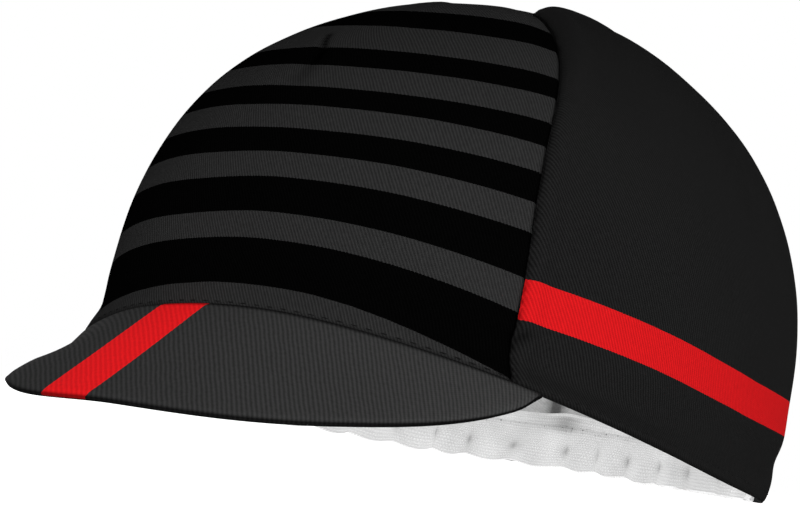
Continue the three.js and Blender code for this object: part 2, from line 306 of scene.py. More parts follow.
def relief(across, along, points, on_side):
    """How far the cloth stands out from the smooth crown."""
    to_seam, at = seam_distance(points)
    angle = np.arctan2(across, -along)
    above = points[:, 2] - rim_height(angle)
    out = -np.interp(at, SEAM_DIP_ALONG, SEAM_DIP) * bump(to_seam, SEAM_REACH)
    out -= SEAM_CREASE["depth"] * bump(to_seam, SEAM_CREASE["spread"])
    if on_side:
        swell_away = np.interp(at, SEAM_DIP_ALONG, SWELL_AWAY)
        swell = np.interp(at, SEAM_DIP_ALONG, SIDE_SWELL) * bump(to_seam - swell_away, swell_away)
        out += swell * np.where(points[:, 0] < 0, smooth(RIGHT_SWELL["low"], RIGHT_SWELL["high"], at), 1)
        sink = bump(at, RIGHT_SIDE_SINK["spread"]) * bump(to_seam, RIGHT_SIDE_SINK["reach"])
        out -= np.where(points[:, 0] < 0, RIGHT_SIDE_SINK["depth"] * sink, 0)
    to_front = 1 - smooth(HEM_RISES["low"], HEM_RISES["high"], np.abs(np.degrees(angle)))
    groove_height = HEM["height"] + (HEM["front_height"] - HEM["height"]) * to_front
    out -= HEM["groove"] * bump(above - groove_height, HEM["spread"])
    out += rim_flare(angle, above)
    out -= HEM["edge_roll"] * bump(above, HEM["edge_spread"])
    beside = bump(np.abs(np.degrees(angle)) - SIDE_BULGE["angle"], SIDE_BULGE["spread"])
    out += SIDE_BULGE["out"] * beside * bump(above - SIDE_BULGE["height"], SIDE_BULGE["tall"])
    sag = smooth(TOP_SAG["front_low"], TOP_SAG["front_high"], along) * bump(across, TOP_SAG["across"])
    sag *= 1 - smooth(TOP_SAG["back_low"], TOP_SAG["back_high"], along)
    out -= TOP_SAG["depth"] * sag
    out -= CROWN_FLAT["depth"] * bump(np.hypot(across, along - CROWN_FLAT["along"]), CROWN_FLAT["spread"])
    shoulder = np.hypot(across - SHOULDER["across"], along - SHOULDER["along"])
    out += SHOULDER["out"] * bump(shoulder, SHOULDER["spread"])
    for fold in FOLDS:
        out += fold_relief(points, fold)[0]
    for hills in CLOTH_HILLS:
        out += hills["depth"] * ripple(points, hills["apart"], hills["seed"])
    return out


def painted_fold_shade(points):
    """How much painted shade darkens the cloth in the folds' valleys."""
    return np.max([fold_relief(points, fold)[1] for fold in FOLDS], axis=0)


def crown_surface(across, along, on_side):
    """Points of the crown's outside."""
    points = smooth_crown(across, along)
    return points + outward(across, along) * relief(across, along, points, on_side)[:, None]


# The cap at rest

SETTLED = 1.3  # how much lower the soft cap settles than the solids


def peak_edge(share, out=1.0):
    """Points of the peak's top at shares from -1 to 1 around its root, and out from 0 to 1 to its edge."""
    angle = np.radians(PEAK["half_angle"]) * share
    across, along = np.sin(angle), -np.cos(angle)
    level = outward(across, along) * [1, 1, 0]
    root = smooth_crown(across, along) + unit(level) * PEAK["root_gap"]
    reach = PEAK["reach"] * (1 - np.abs(share) ** PEAK["side_power"]) ** (1 / PEAK["tip_power"]) * out
    fan = np.radians(PEAK_FAN["side"] * share + PEAK_FAN["curl"] * share ** 3)
    droop = np.radians(PEAK_DROOP["middle"] + (PEAK_DROOP["end"] - PEAK_DROOP["middle"]) * share ** 2)
    forward = np.stack([np.sin(fan) * np.cos(droop), -np.cos(fan) * np.cos(droop), -np.sin(droop)], axis=-1)
    return root + forward * reach[..., None] + [0, 0, PEAK["rise"]], droop


def rest_matrix():
    """The turn and move from the crown's frame to the cap at rest, on the peak's edge and the rim's back."""
    edge, droop = peak_edge(np.linspace(-1, 1, 201))
    edge[:, 2] -= (2 * PEAK_FACE + PEAK_FACE_GAP) / np.cos(droop)
    angles = np.linspace(0, math.pi, 201)
    rim = smooth_crown(np.sin(angles), -np.cos(angles)) - [0, 0, BAND["rest"]]
    low, high = 0.0, math.radians(30)
    for _ in range(40):
        lift = (low + high) / 2
        up = np.array([0, -math.sin(lift), math.cos(lift)])
        if (edge @ up).min() < (rim @ up).min():
            low = lift
        else:
            high = lift
    turn = Matrix.Rotation(-low, 4, "X")
    tip = turn @ Vector(edge[len(edge) // 2])
    peak_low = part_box("peak_under")[0]
    return Matrix.Translation((0, peak_low[1] / MM - tip.y, peak_low[2] / MM - tip.z - SETTLED)) @ turn


REST = rest_matrix()


def to_rest(points):
    """Points of the crown's frame, in metres where the cap lies."""
    turned = points @ np.array(REST.to_3x3()).T + np.array(REST.translation)
    return turned * MM


# The camera, fitted to the photograph in the crown's own frame

VIEW = dict(azimuth=28, elevation=-9.2, roll=10.9, distance=560, aside=-19.8, height=41.8)
FOCAL_PIXELS = 2228
PHOTO_WIDTH = 800
SENSOR = 36
CAMERA_FLOOR = 3.7  # the least height of the camera over the floor


def make_camera():
    """The photograph's camera, raised just enough to stay above the floor."""
    azimuth, elevation, roll = (math.radians(VIEW[key]) for key in ("azimuth", "elevation", "roll"))
    turn = REST.to_3x3()
    flat = math.cos(elevation)
    back = Vector((math.sin(azimuth) * flat, -math.cos(azimuth) * flat, math.sin(elevation)))
    level = Vector((math.cos(azimuth), math.sin(azimuth), 0))
    target = REST @ (VIEW["aside"] * level + Vector((0, 0, VIEW["height"])))
    upright = back.cross(level)
    right = turn @ (math.cos(roll) * level + math.sin(roll) * upright)
    place = target + VIEW["distance"] * (turn @ back)
    place.z = max(place.z, CAMERA_FLOOR)
    back = (place - target).normalized()
    up = back.cross(right).normalized()
    right = up.cross(back)
    camera = bpy.data.objects.new("camera", bpy.data.cameras.new("camera"))
    bpy.context.scene.collection.objects.link(camera)
    camera.data.sensor_width = SENSOR
    camera.data.lens = SENSOR * FOCAL_PIXELS / PHOTO_WIDTH
    camera.data.clip_start = 0.01
    camera.data.clip_end = 50
    axes = Matrix((right, up, back)).transposed().to_4x4()
    camera.matrix_world = Matrix.Translation(place * MM) @ axes
    bpy.context.scene.camera = camera


make_camera()


# Node helpers

def feed(tree, socket, value):
    """Gives an input its value, or the link from another node's output."""
    if isinstance(value, bpy.types.NodeSocket):
        tree.links.new(value, socket)
    else:
        socket.default_value = value


def add_node(tree, kind, inputs=None, **settings):
    """A node of one kind, with its settings and the values or links of its inputs."""
    node = tree.nodes.new(kind)
    for key, value in settings.items():
        setattr(node, key, value)
    for key, value in (inputs or {}).items():
        feed(tree, node.inputs[key], value)
    return node


def maths(tree, operation, a, b=0.0, c=0.0):
    """One step of arithmetic."""
    return add_node(tree, "ShaderNodeMath", {0: a, 1: b, 2: c}, operation=operation).outputs[0]


def wave(tree, value):
    """A wave from 0 to 1, once for each whole step of the value."""
    return maths(tree, "MULTIPLY_ADD", maths(tree, "SINE", maths(tree, "MULTIPLY", value, TAU)), 0.5, 0.5)


def speckle(tree, place, scale, detail):
    """Noise from 0 to 1."""
    inputs = {"Vector": place, "Scale": scale, "Detail": detail}
    return add_node(tree, "ShaderNodeTexNoise", inputs).outputs[0]


def varied(tree, shade, noise_value, depth):
    """A shade made lighter and darker by noise."""
    return maths(tree, "MULTIPLY_ADD", maths(tree, "SUBTRACT", noise_value, 0.5), depth, shade)


def attribute(tree, name):
    """A number that the piece's mesh carries at each corner."""
    return add_node(tree, "ShaderNodeAttribute", attribute_name=name).outputs["Fac"]


def mix_colours(tree, share, first, second, blend="MIX"):
    """A mix of two colours."""
    node = add_node(tree, "ShaderNodeMix", data_type="RGBA", blend_type=blend)
    for index, value in ((0, share), (6, first), (7, second)):
        feed(tree, node.inputs[index], value)
    return node.outputs[2]


def group_of(name, inputs, outputs):
    """A new shader node group with named inputs and outputs, and its two end nodes."""
    tree = bpy.data.node_groups.new(name, "ShaderNodeTree")
    for label, kind, value in inputs:
        socket = tree.interface.new_socket(label, in_out="INPUT", socket_type=kind)
        if value is not None:
            socket.default_value = value
    for label, kind in outputs:
        tree.interface.new_socket(label, in_out="OUTPUT", socket_type=kind)
    return tree, tree.nodes.new("NodeGroupInput"), tree.nodes.new("NodeGroupOutput")


def use_group(tree, group, **inputs):
    """A group placed in a material."""
    node = tree.nodes.new("ShaderNodeGroup")
    node.node_tree = group
    for label, value in inputs.items():
        feed(tree, node.inputs[label.replace("_", " ")], value)
    return node


def new_material(name, roughness, specular, sheen):
    """A material with a plain Principled shader, its node tree and that shader."""
    material = bpy.data.materials.new(name)
    material.use_nodes = True
    tree = material.node_tree
    shader = tree.nodes["Principled BSDF"]
    shader.inputs["Roughness"].default_value = roughness
    shader.inputs["Specular IOR Level"].default_value = specular
    shader.inputs["Sheen Weight"].default_value = sheen
    shader.inputs["Sheen Roughness"].default_value = 0.5
    return material, tree, shader


def grey(value):
    """A neutral colour with its alpha."""
    return (value, value, value, 1)


# Shared effects

def build_twill():
    """Twill: slanted ribs of twisted yarn. It reads the cloth's own UV map, in metres of flat cloth."""
    tree, given, result = group_of(
        "twill",
        [
            ("Slant", "NodeSocketFloat", 0.6),
            ("Rib Pitch", "NodeSocketFloat", 0.95),
            ("Contrast", "NodeSocketFloat", 0.6),
        ],
        [("Height", "NodeSocketFloat"), ("Shade", "NodeSocketFloat")],
    )
    uv = add_node(tree, "ShaderNodeUVMap", uv_map="cloth").outputs[0]
    wander = speckle(tree, uv, 160.0, 2.0)
    turn = {"Vector": uv, "Angle": given.outputs["Slant"]}
    turned = add_node(tree, "ShaderNodeVectorRotate", turn, rotation_type="Z_AXIS").outputs[0]
    parts = add_node(tree, "ShaderNodeSeparateXYZ", {0: turned})
    ribs_per_metre = maths(tree, "DIVIDE", 1000.0, given.outputs["Rib Pitch"])
    across = maths(tree, "MULTIPLY", parts.outputs[0], ribs_per_metre)
    across = maths(tree, "MULTIPLY_ADD", wander, 0.5, across)
    along = maths(tree, "MULTIPLY", parts.outputs[1], maths(tree, "MULTIPLY", ribs_per_metre, 1.7))
    yarn = maths(tree, "SINE", maths(tree, "MULTIPLY", maths(tree, "ADD", along, across), TAU))
    height = maths(tree, "MULTIPLY_ADD", yarn, 0.12, wave(tree, across))
    shade = varied(tree, 1.0, height, given.outputs["Contrast"])
    fuzz = speckle(tree, uv, 900.0, 3.0)
    shade = varied(tree, shade, fuzz, 0.5)
    patches = speckle(tree, uv, 28.0, 2.0)
    shade = varied(tree, shade, patches, 0.16)
    tree.links.new(height, result.inputs["Height"])
    tree.links.new(shade, result.inputs["Shade"])
    return tree


TWILL = build_twill()


def weave_bump(tree, shader, height, distance):
    """The weave's relief on a shader."""
    node = add_node(tree, "ShaderNodeBump", {"Height": height, "Strength": 0.6, "Distance": distance * MM})
    feed(tree, shader.inputs["Normal"], node.outputs[0])


PAINTED_SHADE_DEPTH = 0.85  # how much of its colour the outside loses to painted shade down in its seams


def darkened(tree, shade, name, depth):
    """A shade made darker by an attribute: painted shade in a seam or a fold, or painted shadow."""
    return maths(tree, "MULTIPLY", shade, maths(tree, "MULTIPLY_ADD", attribute(tree, name), -depth, 1.0))


def tinted(tree, colour, shade):
    """A colour under the weave's light and dark."""
    light = add_node(tree, "ShaderNodeCombineColor", {0: shade, 1: shade, 2: shade}).outputs[0]
    return mix_colours(tree, 1.0, colour, light, blend="MULTIPLY")


# Materials

CLOTH_GREY = grey(0.0212)
PEAK_GREY = grey(0.0380)
SIDE_BLACK = grey(0.0098)
PRINT_BLACK = grey(0.0010)
UNDER_BLACK = grey(0.0018)
THREAD_BLACK = grey(0.007)
STRIPE_RED = (0.47, 0.0072, 0.0090, 1)
PEAK_RED = (0.82, 0.012, 0.015, 1)
INNER_GREY = grey(0.62)
KNIT_WHITE = grey(0.90)

# The middle panel's black stripes: their lower and upper edges over the rim's plane, in the middle of the
# panel and at its seams. A slot below the rim keeps the lowest stripe whole where the rim rises.
STRIPES = [
    dict(low=14.8, high=24.9, seam_low=4.1, seam_high=18.8),
    dict(low=30.7, high=38.9, seam_low=26.0, seam_high=36.1),
    dict(low=44.8, high=51.0, seam_low=42.8, seam_high=50.2),
    dict(low=57.0, high=62.2, seam_low=56.6, seam_high=62.9),
    dict(low=68.7, high=74.5, seam_low=69.9, seam_high=75.6),
    dict(low=83.6, high=91.3, seam_low=84.8, seam_high=92.2),
]
PRINT_BEND = 2.2  # the power of the stripes' bend towards the seams
RIGHT_PRINT_DROP = dict(down=1.1, height=33, spread=16)  # the print lies lower on the wearer's right
PRINT_SPAN = 110  # the print's height that the attribute's range of 0 to 1 stands for
PRINT_FOOT = -12.0  # where the print starts, well below the rim, and where it ends, over the crown's top
PRINT_TOP = 116.0
PRINT_BACK = 0.15  # how far before the crown's top it ends. Behind that the panel is plain.
PRINT_NUDGE = 0.07  # how far the ribs push the stripes' edges

# The side panels' red stripe: the height of its middle over the rim's plane, at angles around the head
SIDE_STRIPE_ANGLES = [30, 42, 52, 62, 73, 80, 88, 100, 112, 120, 140, 165]
SIDE_STRIPE_HEIGHTS = [22.5, 21.6, 20.6, 19.5, 18.2, 17.7, 17.4, 17.9, 19.2, 20.0, 20.5, 21.0]
SIDE_STRIPE_WIDTH = 8.7
PEAK_STRIPE = dict(middle=-16.1, width=12.4)

# Each weave's slant in degrees, its ribs' pitch, how much they shade it and how deep their relief is
WEAVES = dict(
    middle=dict(slant=-32, pitch=0.66, contrast=0.55, relief=0.16),
    side=dict(slant=-29, pitch=0.80, contrast=0.75, relief=0.16),
    peak=dict(slant=36, pitch=0.95, contrast=0.5, relief=0.16),
    under=dict(slant=36, pitch=0.95, contrast=0.3, relief=0.14),
    inside=dict(slant=-40, pitch=0.70, contrast=0.08, relief=0.12),
)
KNIT = dict(row=0.72, column=0.85, hem=11.2, hem_reach=1.3, relief=0.25)


def print_edge(tree, height):
    """The print's own height, nudged by the ribs so that its edges follow the yarn."""
    return maths(tree, "MULTIPLY_ADD", height, PRINT_NUDGE / PRINT_SPAN, attribute(tree, "print"))


def woven(tree, weave):
    """The twill group with one weave's values."""
    slant, pitch, contrast = math.radians(weave["slant"]), weave["pitch"], weave["contrast"]
    return use_group(tree, TWILL, Slant=slant, Rib_Pitch=pitch, Contrast=contrast)


def dress(tree, shader, twill, weave, colour, shade):
    """Gives a shader the weave's relief and a colour under the weave's shade, and returns that colour."""
    cloth = tinted(tree, colour, shade)
    feed(tree, shader.inputs["Base Color"], cloth)
    weave_bump(tree, shader, twill.outputs["Height"], weave["relief"])
    return cloth


def striped_twill():
    """Dark grey twill with printed black stripes."""
    material, tree, shader = new_material("striped_twill", 0.95, 0.0, 0.0)
    weave = WEAVES["middle"]
    twill = woven(tree, weave)
    ramp = add_node(tree, "ShaderNodeValToRGB", {0: print_edge(tree, twill.outputs["Height"])})
    ramp.color_ramp.interpolation = "CONSTANT"
    stops = [(0.0, CLOTH_GREY)]
    for stripe in STRIPES:
        stops += [(stripe["low"] / PRINT_SPAN, PRINT_BLACK), (stripe["high"] / PRINT_SPAN, CLOTH_GREY)]
    elements = ramp.color_ramp.elements
    elements[0].position, elements[0].color = stops[0]
    elements.remove(elements[1])
    for position, colour in stops[1:]:
        elements.new(position).color = colour
    # Painted shade: darker where the attribute marks seams, folds and the peak's root.
    shade = darkened(tree, twill.outputs["Shade"], "painted_shade", PAINTED_SHADE_DEPTH)
    dress(tree, shader, twill, weave, ramp.outputs[0], shade)
    return material


# How strongly each finish glows, as painted light, though none of them is a lamp
PAINTED_GLOW = dict(side_red=0.15, peak_red=0.12, inside=0.20, knit=0.34)


def red_striped_twill(name, weave, ground, red, width, glow):
    """Twill with one printed red stripe, whose middle is at the attribute's 0.5. The weave shades the red
    less, and a little emission keeps it as bright as in the photograph."""
    material, tree, shader = new_material(name, 0.95, 0.01, 0.0)
    twill = woven(tree, weave)
    edge = print_edge(tree, twill.outputs["Height"])
    away = maths(tree, "ABSOLUTE", maths(tree, "SUBTRACT", edge, 0.5))
    in_red = maths(tree, "LESS_THAN", away, width / 2 / PRINT_SPAN)
    feed(tree, shader.inputs["Emission Color"], mix_colours(tree, in_red, grey(0), red))
    # Painted light: the red glows though the cloth is no lamp.
    shader.inputs["Emission Strength"].default_value = glow
    lost = maths(tree, "SUBTRACT", 1.0, twill.outputs["Shade"])
    shade = maths(tree, "MULTIPLY_ADD", lost, maths(tree, "MULTIPLY", in_red, 0.5), twill.outputs["Shade"])
    # Painted shade: darker where the attribute marks seams, folds and edges.
    shade = darkened(tree, shade, "painted_shade", PAINTED_SHADE_DEPTH)
    dress(tree, shader, twill, weave, mix_colours(tree, in_red, ground, red), shade)
    return material


def side_twill():
    """The side panels' black twill with its red stripe around the head."""
    width, glow = SIDE_STRIPE_WIDTH, PAINTED_GLOW["side_red"]
    return red_striped_twill("side_twill", WEAVES["side"], SIDE_BLACK, STRIPE_RED, width, glow)


def peak_twill():
    """The peak's grey twill with its red stripe to the wearer's right of the middle."""
    width, glow = PEAK_STRIPE["width"], PAINTED_GLOW["peak_red"]
    return red_striped_twill("peak_twill", WEAVES["peak"], PEAK_GREY, PEAK_RED, width, glow)


def under_twill():
    """The plain black cotton under the peak."""
    material, tree, shader = new_material("under_twill", 0.9, 0.05, 0.0)
    weave = WEAVES["under"]
    twill = woven(tree, weave)
    # Painted shade: darker where the attribute marks the peak's root and edge.
    shade = darkened(tree, twill.outputs["Shade"], "painted_shade", PAINTED_SHADE_DEPTH)
    dress(tree, shader, twill, weave, UNDER_BLACK, shade)
    return material


def inner_twill():
    """The pale back of the printed twill, with the black hem folded up over it. A little emission keeps it
    as bright as in the photograph."""
    material, tree, shader = new_material("inner_twill", 0.9, 0.05, 0.0)
    weave = WEAVES["inside"]
    twill = woven(tree, weave)
    colour = mix_colours(tree, attribute(tree, "hem"), INNER_GREY, SIDE_BLACK)
    # Painted shadow beside the seams, and painted shade along them and in the folds.
    shade = darkened(tree, darkened(tree, twill.outputs["Shade"], "shadow", 0.65), "painted_shade", 0.4)
    feed(tree, shader.inputs["Emission Color"], dress(tree, shader, twill, weave, colour, shade))
    # Painted light: the inside glows though it is no lamp.
    shader.inputs["Emission Strength"].default_value = PAINTED_GLOW["inside"]
    return material


def knit():
    """A white knit: staggered loops in level rows, with a row of needle holes under its upper hem. A little
    emission keeps it as bright as in the photograph."""
    material, tree, shader = new_material("white_knit", 0.95, 0.15, 0.05)
    uv = add_node(tree, "ShaderNodeUVMap", uv_map="cloth").outputs[0]
    parts = add_node(tree, "ShaderNodeSeparateXYZ", {0: uv})
    row = maths(tree, "MULTIPLY", parts.outputs[1], 1 / (KNIT["row"] * MM))
    row = maths(tree, "MULTIPLY_ADD", speckle(tree, uv, 220.0, 1.0), 0.6, row)
    stagger = maths(tree, "MULTIPLY", maths(tree, "FLOOR", row), 0.5)
    column = maths(tree, "MULTIPLY_ADD", parts.outputs[0], 1 / (KNIT["column"] * MM), stagger)
    loop, course = (maths(tree, "POWER", wave(tree, value), 0.6) for value in (column, row))
    height = maths(tree, "MULTIPLY", loop, course)

    # A few of the cells in a band at the hem are needle holes
    cells = add_node(tree, "ShaderNodeTexVoronoi", {"Vector": uv, "Scale": 900.0})
    chosen = add_node(tree, "ShaderNodeSeparateColor", {0: cells.outputs["Color"]}).outputs[0]
    chosen = maths(tree, "GREATER_THAN", chosen, 0.55)
    hole = maths(tree, "MULTIPLY", maths(tree, "LESS_THAN", cells.outputs["Distance"], 0.30), chosen)
    from_hem = maths(tree, "ABSOLUTE", maths(tree, "SUBTRACT", parts.outputs[1], KNIT["hem"] * MM))
    at_hem = maths(tree, "MULTIPLY_ADD", from_hem, -1 / (KNIT["hem_reach"] * MM), 1.0)
    at_hem = maths(tree, "MAXIMUM", at_hem, 0.0)

    patches = speckle(tree, uv, 90.0, 3.0)
    shade = varied(tree, maths(tree, "MULTIPLY_ADD", height, 0.26, 0.84), patches, 0.5)
    shade = maths(tree, "MULTIPLY_ADD", maths(tree, "MULTIPLY", hole, at_hem), -0.45, shade)
    shade = maths(tree, "MULTIPLY_ADD", maths(tree, "MULTIPLY", patches, at_hem), -0.24, shade)
    # Painted shade in the gathers' pits, and painted shadow over the band's join.
    shade = darkened(tree, darkened(tree, shade, "shadow", 0.45), "painted_shade", 0.45)
    colour = tinted(tree, KNIT_WHITE, shade)
    feed(tree, shader.inputs["Base Color"], colour)
    feed(tree, shader.inputs["Emission Color"], colour)
    # Painted light: the knit glows though it is no lamp.
    shader.inputs["Emission Strength"].default_value = PAINTED_GLOW["knit"]
    weave_bump(tree, shader, height, KNIT["relief"])
    return material


def black_thread():
    """Twisted sewing thread."""
    material, tree, shader = new_material("black_thread", 0.9, 0.05, 0.0)
    ply = {"Vector": add_node(tree, "ShaderNodeTexCoord").outputs["Object"], "Scale": 900.0}
    twist = add_node(tree, "ShaderNodeTexWave", ply, bands_direction="DIAGONAL").outputs[1]
    shade = maths(tree, "MULTIPLY_ADD", twist, 0.5, 0.7)
    feed(tree, shader.inputs["Base Color"], tinted(tree, THREAD_BLACK, shade))
    return material


# Mesh helpers

def deselect():
    """Nothing stays selected, so that an operator acts on the new piece alone."""
    if bpy.context.object and bpy.context.object.mode != "OBJECT":
        bpy.ops.object.mode_set(mode="OBJECT")
    bpy.ops.object.select_all(action="DESELECT")


def choose(piece):
    """Only this piece is selected and active."""
    deselect()
    piece.select_set(True)
    bpy.context.view_layer.objects.active = piece


def apply_modifier(piece, name, kind, **settings):
    """Adds a modifier and applies it."""
    choose(piece)
    modifier = piece.modifiers.new(name, kind)
    for key, value in settings.items():
        setattr(modifier, key, value)
    bpy.ops.object.modifier_apply(modifier=modifier.name)


def edit(piece, *steps):
    """Runs edit-mode steps on all of a piece's mesh."""
    choose(piece)
    bpy.ops.object.mode_set(mode="EDIT")
    bpy.ops.mesh.select_all(action="SELECT")
    for step in steps:
        step()
    bpy.ops.object.mode_set(mode="OBJECT")


def cloth_sheet(name, grid, shape):
    """A primitive grid laid on a shape. shape(u, v) takes shares from 0 to 1 and gives each corner's point
    in the crown's frame and its place in the flat cloth. Then come its height in the print, how much painted
    shade it gets in a seam, whether it is in the folded hem, and how much painted shadow a seam casts on it."""
    deselect()
    bpy.ops.mesh.primitive_grid_add(x_subdivisions=grid["columns"], y_subdivisions=grid["rows"], size=2)
    piece = bpy.context.object
    piece.name = name
    mesh = piece.data
    flat = np.empty(len(mesh.vertices) * 3)
    mesh.vertices.foreach_get("co", flat)
    share = (flat.reshape(-1, 3)[:, :2] + 1) / 2
    points, cloth, printed, painted_shade, hem, shadow = shape(share[:, 0], share[:, 1])
    mesh.vertices.foreach_set("co", to_rest(points).ravel())
    corner = np.empty(len(mesh.loops), dtype=np.int64)
    mesh.loops.foreach_get("vertex_index", corner)
    while mesh.uv_layers:
        mesh.uv_layers.remove(mesh.uv_layers[0])
    laid = (cloth * MM)[corner].astype(np.float32)
    mesh.uv_layers.new(name="cloth").data.foreach_set("uv", laid.ravel())
    for label, values in (("print", printed), ("painted_shade", painted_shade), ("hem", hem), ("shadow", shadow)):
        mesh.attributes.new(label, "FLOAT", "POINT").data.foreach_set("value", values.astype(np.float32))
    mesh.update()
    return piece


def face_out(piece, centre):
    """Turns the sheet's faces away from a point."""
    mesh = piece.data
    votes = sum(polygon.normal.dot(polygon.center - centre) * polygon.area for polygon in mesh.polygons)
    if votes < 0:
        edit(piece, bpy.ops.mesh.flip_normals)


def finish_sheet(piece, thickness, materials, centre):
    """Gives a sheet its wall, inwards from its outside, and its materials: outside first, then inside."""
    for material in materials:
        piece.data.materials.append(material)
    face_out(piece, centre)
    apply_modifier(
        piece, "wall", "SOLIDIFY", thickness=thickness * MM, offset=-1, use_even_offset=False,
        material_offset=len(materials) - 1, material_offset_rim=len(materials) - 1,
    )
    choose(piece)
    bpy.ops.object.shade_smooth_by_angle(angle=math.radians(50))


INSIDE = Vector(to_rest(np.array([0, 10, 45.0])))  # a point in the middle of the head
BELOW = Vector(to_rest(np.array([0, -100, -200.0])))  # a point far under the peak


# The crown

MIDDLE_GRID = dict(columns=160, rows=300)
SIDE_GRID = dict(columns=190, rows=100)


def along_cloth(points, grid):
    """Each corner's distance across and along the cloth, from its middle column. The grid's corners come row
    by row."""
    table = points.reshape(grid["rows"] + 1, grid["columns"] + 1, 3)
    across = np.cumsum(np.linalg.norm(np.diff(table, axis=1, prepend=table[:, :1]), axis=2), axis=1)
    across -= across[:, grid["columns"] // 2][:, None]
    middle = table[:, grid["columns"] // 2]
    along = np.cumsum(np.linalg.norm(np.diff(middle, axis=0, prepend=middle[:1]), axis=1))
    return np.stack([across, np.broadcast_to(along[:, None], across.shape)], axis=-1).reshape(-1, 2)


def turned_edges(share, count):
    """Shares whose first and last grid lines double the ones beside them, with 1 on those lines alone."""
    line = np.round(share * count)
    return np.clip((line - 1) / (count - 2), 0, 1), ((line < 0.5) | (line > count - 0.5)).astype(float)


def above_rim(across, along):
    """How high a place on the smooth crown is above the rim under it."""
    return smooth_crown(across, along)[:, 2] - rim_height(np.arctan2(across, -along))


def hem_share(across, along):
    """1 in the folded hem above the rim, and 0 elsewhere."""
    return 1 - smooth(HEM_FOLD["low"], HEM_FOLD["high"], above_rim(across, along))


def print_height(height, along, column):
    """The middle panel's place in the print, from 0 to 1, bent so that the stripes keep to their table."""
    edges = [(stripe[key], stripe["seam_" + key]) for stripe in STRIPES for key in ("low", "high")]
    middle_heights = [0.0] + [edge[0] for edge in edges] + [PRINT_SPAN]
    drop = RIGHT_PRINT_DROP["down"] * smooth(0, 0.5, -column)
    drop = drop * bump(height - RIGHT_PRINT_DROP["height"], RIGHT_PRINT_DROP["spread"])
    printed = np.full(len(height), 1.0)
    for i in np.where(along < CROWN["lean"] / RIM["back"] - PRINT_BACK)[0]:
        bend = abs(column[i]) ** PRINT_BEND
        here = [PRINT_FOOT] + [low + (high - low) * bend for low, high in edges] + [PRINT_TOP]
        printed[i] = np.interp(height[i] + drop[i], here, middle_heights) / PRINT_SPAN
    return printed


def middle_panel():
    """The striped panel from the front rim over the top to the back rim."""

    def shape(u, v):
        at = crowd_ends(v, 0.5)
        reach, turned = turned_edges(u, MIDDLE_GRID["columns"])
        column = 2 * crowd_ends(reach, 0.85) - 1
        side = np.where(column > 0, 1, -1)
        half = np.abs(smooth_crown(*seam_place(at, side))[:, 0])
        column = column * (1 - SEAM_GAP / 2 / half)
        across = column * seam_across(at, side)
        front_edge = np.sqrt(1 - (column * seam_across(0.0, side)) ** 2)
        back_edge = np.sqrt(1 - (column * seam_across(1.0, side)) ** 2)
        along = back_edge * at - front_edge * (1 - at)
        points = crown_surface(across, along, False) - outward(across, along) * TURNED_IN * turned[:, None]
        smooth_points = smooth_crown(across, along)
        printed = np.where(turned > 0, 1.0, print_height(smooth_points[:, 2], along, column))
        cloth = along_cloth(points, MIDDLE_GRID)
        from_front = np.abs(np.degrees(np.arctan2(across, -along)))
        # Painted shade along the peak's root.
        root = PEAK_ROOT_SHADE["dark"] * bump(above_rim(across, along), PEAK_ROOT_SHADE["spread"])
        root *= 1 - smooth(PEAK_ROOT_SHADE["low"], PEAK_ROOT_SHADE["high"], from_front)
        to_seam = seam_distance(smooth_points)[0]
        # Painted shade along the seam, the peak's root and the folds' valleys.
        painted_shade = np.max([bump(to_seam, SEAM_LINE_SHADE["middle"]), root, painted_fold_shade(smooth_points)], axis=0)
        return points, cloth, printed, painted_shade, hem_share(across, along), bump(to_seam, SEAM_SHADOW)

    piece = cloth_sheet("center_panel_cloth", MIDDLE_GRID, shape)
    finish_sheet(piece, CLOTH, [striped_twill(), INNER], INSIDE)
    return piece


SIDE_LAY = dict(middle=10, up=0.5, low=60, high=105, spread=0.4, reach=40)


def side_cloth(points):
    """A side panel's places in the flat cloth, spread towards its front and back as it narrows upwards."""
    back, height = points[:, 1] - SIDE_LAY["middle"], points[:, 2]
    from_ear = RIM["half_width"] - np.abs(points[:, 0])
    up = height + SIDE_LAY["up"] * from_ear * smooth(SIDE_LAY["low"], SIDE_LAY["high"], height)
    spread = SIDE_LAY["spread"] * np.tanh(back / SIDE_LAY["reach"])
    return np.stack([back + spread * from_ear, up], axis=-1)


